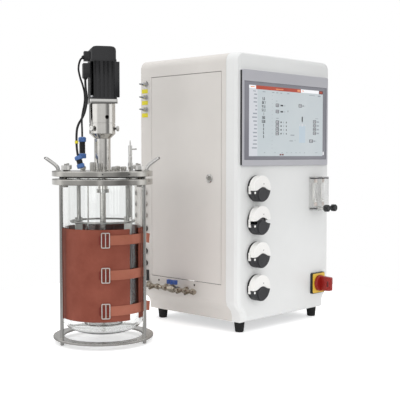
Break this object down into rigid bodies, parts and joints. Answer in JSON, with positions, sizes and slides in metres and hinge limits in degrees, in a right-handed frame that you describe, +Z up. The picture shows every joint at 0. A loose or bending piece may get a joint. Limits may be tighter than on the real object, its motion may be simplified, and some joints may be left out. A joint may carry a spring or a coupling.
{
  "type": "bench bioreactor",
  "caption": "Stirred glass bioreactor vessel in a steel stand with heater blanket and servo drive, beside its control cabinet with touch screen, pump heads, flow meters and a side door.",
  "frame": {"origin": "middle of the footprint's bounding box, on the bench", "axes": "+X from the vessel to the cabinet, along the cabinet's front; +Y from the cabinet's front to its back; +Z up"},
  "size_m": [0.8426, 0.448, 0.7699],
  "materials": {
    "side_paint": "light warm grey powder coat, satin",
    "front_paint": "off-white satin coat",
    "galvanised": "plain sheet, dull",
    "screen_plastic": "pale grey, matt",
    "screen_glass": "smooth touch panel with a lit display",
    "isolator_plastic": "yellow plate on a black base",
    "red_plastic": "moulded, half gloss",
    "fitting_metal": "nickel plated, a little dull",
    "blue_plastic": "moulded, satin",
    "lock_metal": "bright plated",
    "black_plastic": "fine textured moulding",
    "white_plastic": "smooth moulding",
    "rotor_plastic": "plain moulding",
    "acrylic": "clear, polished",
    "float_metal": "turned",
    "stainless": "polished stainless steel",
    "glass": "clear borosilicate glass",
    "rubber": "black, matt",
    "motor_paint": "black, fine satin",
    "silicone": "red-brown silicone sheet with a fine fabric print",
    "cable_jacket": "black jacket, satin"
  },
  "bodies": {
    "root": {"cabinet_shell": "side_paint", "front_bezel": "front_paint", "floor_tray": "galvanised", "back_panel": "side_paint", "screen_bezel": "screen_plastic", "screen_panel": "screen_glass", "control_chassis": "galvanised", "isolator_base": "isolator_plastic", "hose_manifold": "fitting_metal", "pump_body_1": "black_plastic", "pump_body_2": "black_plastic", "pump_body_3": "black_plastic", "pump_body_4": "black_plastic", "flow_meter_1": "acrylic", "flow_meter_2": "acrylic", "foot_1": "rubber", "foot_2": "rubber", "foot_3": "rubber", "foot_4": "rubber", "base_ring": "stainless", "stand_rod_1": "stainless", "stand_rod_2": "stainless", "stand_rod_3": "stainless", "stand_flange": "stainless", "glass_jar": "glass", "jar_gasket": "rubber", "head_plate": "stainless", "lift_handle_1": "stainless", "lift_handle_2": "stainless", "drive_housing": "stainless", "servo_motor": "motor_paint", "baffle_cage": "stainless", "sparger": "stainless", "harvest_tube": "stainless", "heater_blanket": "silicone", "encoder_cable": "cable_jacket", "encoder_connector": "blue_plastic", "power_cable": "cable_jacket", "power_connector": "blue_plastic"},
    "door": {"service_door": "side_paint"},
    "lock": {"door_lock": "lock_metal"},
    "cover_1": {"pump_cover_1": "white_plastic"},
    "rotor_1": {"pump_rotor_1": "rotor_plastic"},
    "cover_2": {"pump_cover_2": "white_plastic"},
    "rotor_2": {"pump_rotor_2": "rotor_plastic"},
    "cover_3": {"pump_cover_3": "white_plastic"},
    "rotor_3": {"pump_rotor_3": "rotor_plastic"},
    "cover_4": {"pump_cover_4": "white_plastic"},
    "rotor_4": {"pump_rotor_4": "rotor_plastic"},
    "float_1": {"flow_float_1": "float_metal"},
    "knob_1": {"flow_knob_1": "black_plastic"},
    "float_2": {"flow_float_2": "float_metal"},
    "knob_2": {"flow_knob_2": "black_plastic"},
    "isolator": {"isolator_handle": "red_plastic"},
    "valve": {"valve_handle": "blue_plastic"},
    "agitator": {"agitator_shaft": "stainless"},
    "nut_1": {"clamp_nut_1": "stainless"},
    "nut_2": {"clamp_nut_2": "stainless"},
    "nut_3": {"clamp_nut_3": "stainless"},
    "nut_4": {"clamp_nut_4": "stainless"}
  },
  "joints": [
    {"name": "door_hinge", "type": "hinge", "parent": "root", "child": "door", "pos_m": [0.00135, 0.1779, 0.425], "axis": [0, 0, -1], "range_deg": [0, 35]},
    {"name": "lock_turn", "type": "hinge", "parent": "door", "child": "lock", "pos_m": [0.00135, -0.057, 0.425], "axis": [-1, 0, 0], "range_deg": [0, 90]},
    {"name": "cover_1_lift", "type": "slide", "parent": "root", "child": "cover_1", "axis": [0, 0, 1], "range_m": [0, 0.012]},
    {"name": "rotor_1_turn", "type": "hinge", "parent": "root", "child": "rotor_1", "pos_m": [0.07635, -0.175, 0.398], "axis": [0, 1, 0], "continuous": true},
    {"name": "cover_2_lift", "type": "slide", "parent": "root", "child": "cover_2", "axis": [0, 0, 1], "range_m": [-0.008, 0.004]},
    {"name": "rotor_2_turn", "type": "hinge", "parent": "root", "child": "rotor_2", "pos_m": [0.07635, -0.175, 0.3068], "axis": [0, 1, 0], "continuous": true},
    {"name": "cover_3_lift", "type": "slide", "parent": "root", "child": "cover_3", "axis": [0, 0, 1], "range_m": [0, 0.012]},
    {"name": "rotor_3_turn", "type": "hinge", "parent": "root", "child": "rotor_3", "pos_m": [0.07635, -0.175, 0.2156], "axis": [0, 1, 0], "continuous": true},
    {"name": "cover_4_lift", "type": "slide", "parent": "root", "child": "cover_4", "axis": [0, 0, 1], "range_m": [0, 0.012]},
    {"name": "rotor_4_turn", "type": "hinge", "parent": "root", "child": "rotor_4", "pos_m": [0.07635, -0.175, 0.1244], "axis": [0, 1, 0], "continuous": true},
    {"name": "float_1_rise", "type": "slide", "parent": "root", "child": "float_1", "axis": [0, 0, 1], "range_m": [0, 0.046]},
    {"name": "knob_1_turn", "type": "hinge", "parent": "root", "child": "knob_1", "pos_m": [0.33535, -0.216, 0.334], "axis": [0, 1, 0], "continuous": true},
    {"name": "float_2_rise", "type": "slide", "parent": "root", "child": "float_2", "axis": [0, 0, 1], "range_m": [0, 0.046]},
    {"name": "knob_2_turn", "type": "hinge", "parent": "root", "child": "knob_2", "pos_m": [0.37035, -0.216, 0.334], "axis": [0, 1, 0], "continuous": true},
    {"name": "isolator_turn", "type": "hinge", "parent": "root", "child": "isolator", "pos_m": [0.36135, -0.181, 0.1065], "axis": [0, 1, 0], "range_deg": [0, 90]},
    {"name": "valve_turn", "type": "hinge", "parent": "root", "child": "valve", "pos_m": [-0.02265, 0.068, 0.123], "axis": [0, 0, 1], "range_deg": [0, 90]},
    {"name": "agitator_turn", "type": "hinge", "parent": "root", "child": "agitator", "pos_m": [-0.28565, 0.0579, 0.5], "axis": [0, 0, 1], "continuous": true},
    {"name": "nut_1_turn", "type": "hinge", "parent": "root", "child": "nut_1", "pos_m": [-0.40361, 0.06109, 0.458], "axis": [0, 0, 1], "continuous": true},
    {"name": "nut_2_turn", "type": "hinge", "parent": "root", "child": "nut_2", "pos_m": [-0.26021, -0.05733, 0.458], "axis": [0, 0, 1], "continuous": true},
    {"name": "nut_3_turn", "type": "hinge", "parent": "root", "child": "nut_3", "pos_m": [-0.1677, 0.05471, 0.458], "axis": [0, 0, 1], "continuous": true},
    {"name": "nut_4_turn", "type": "hinge", "parent": "root", "child": "nut_4", "pos_m": [-0.31109, 0.17313, 0.458], "axis": [0, 0, 1], "continuous": true}
  ]
}
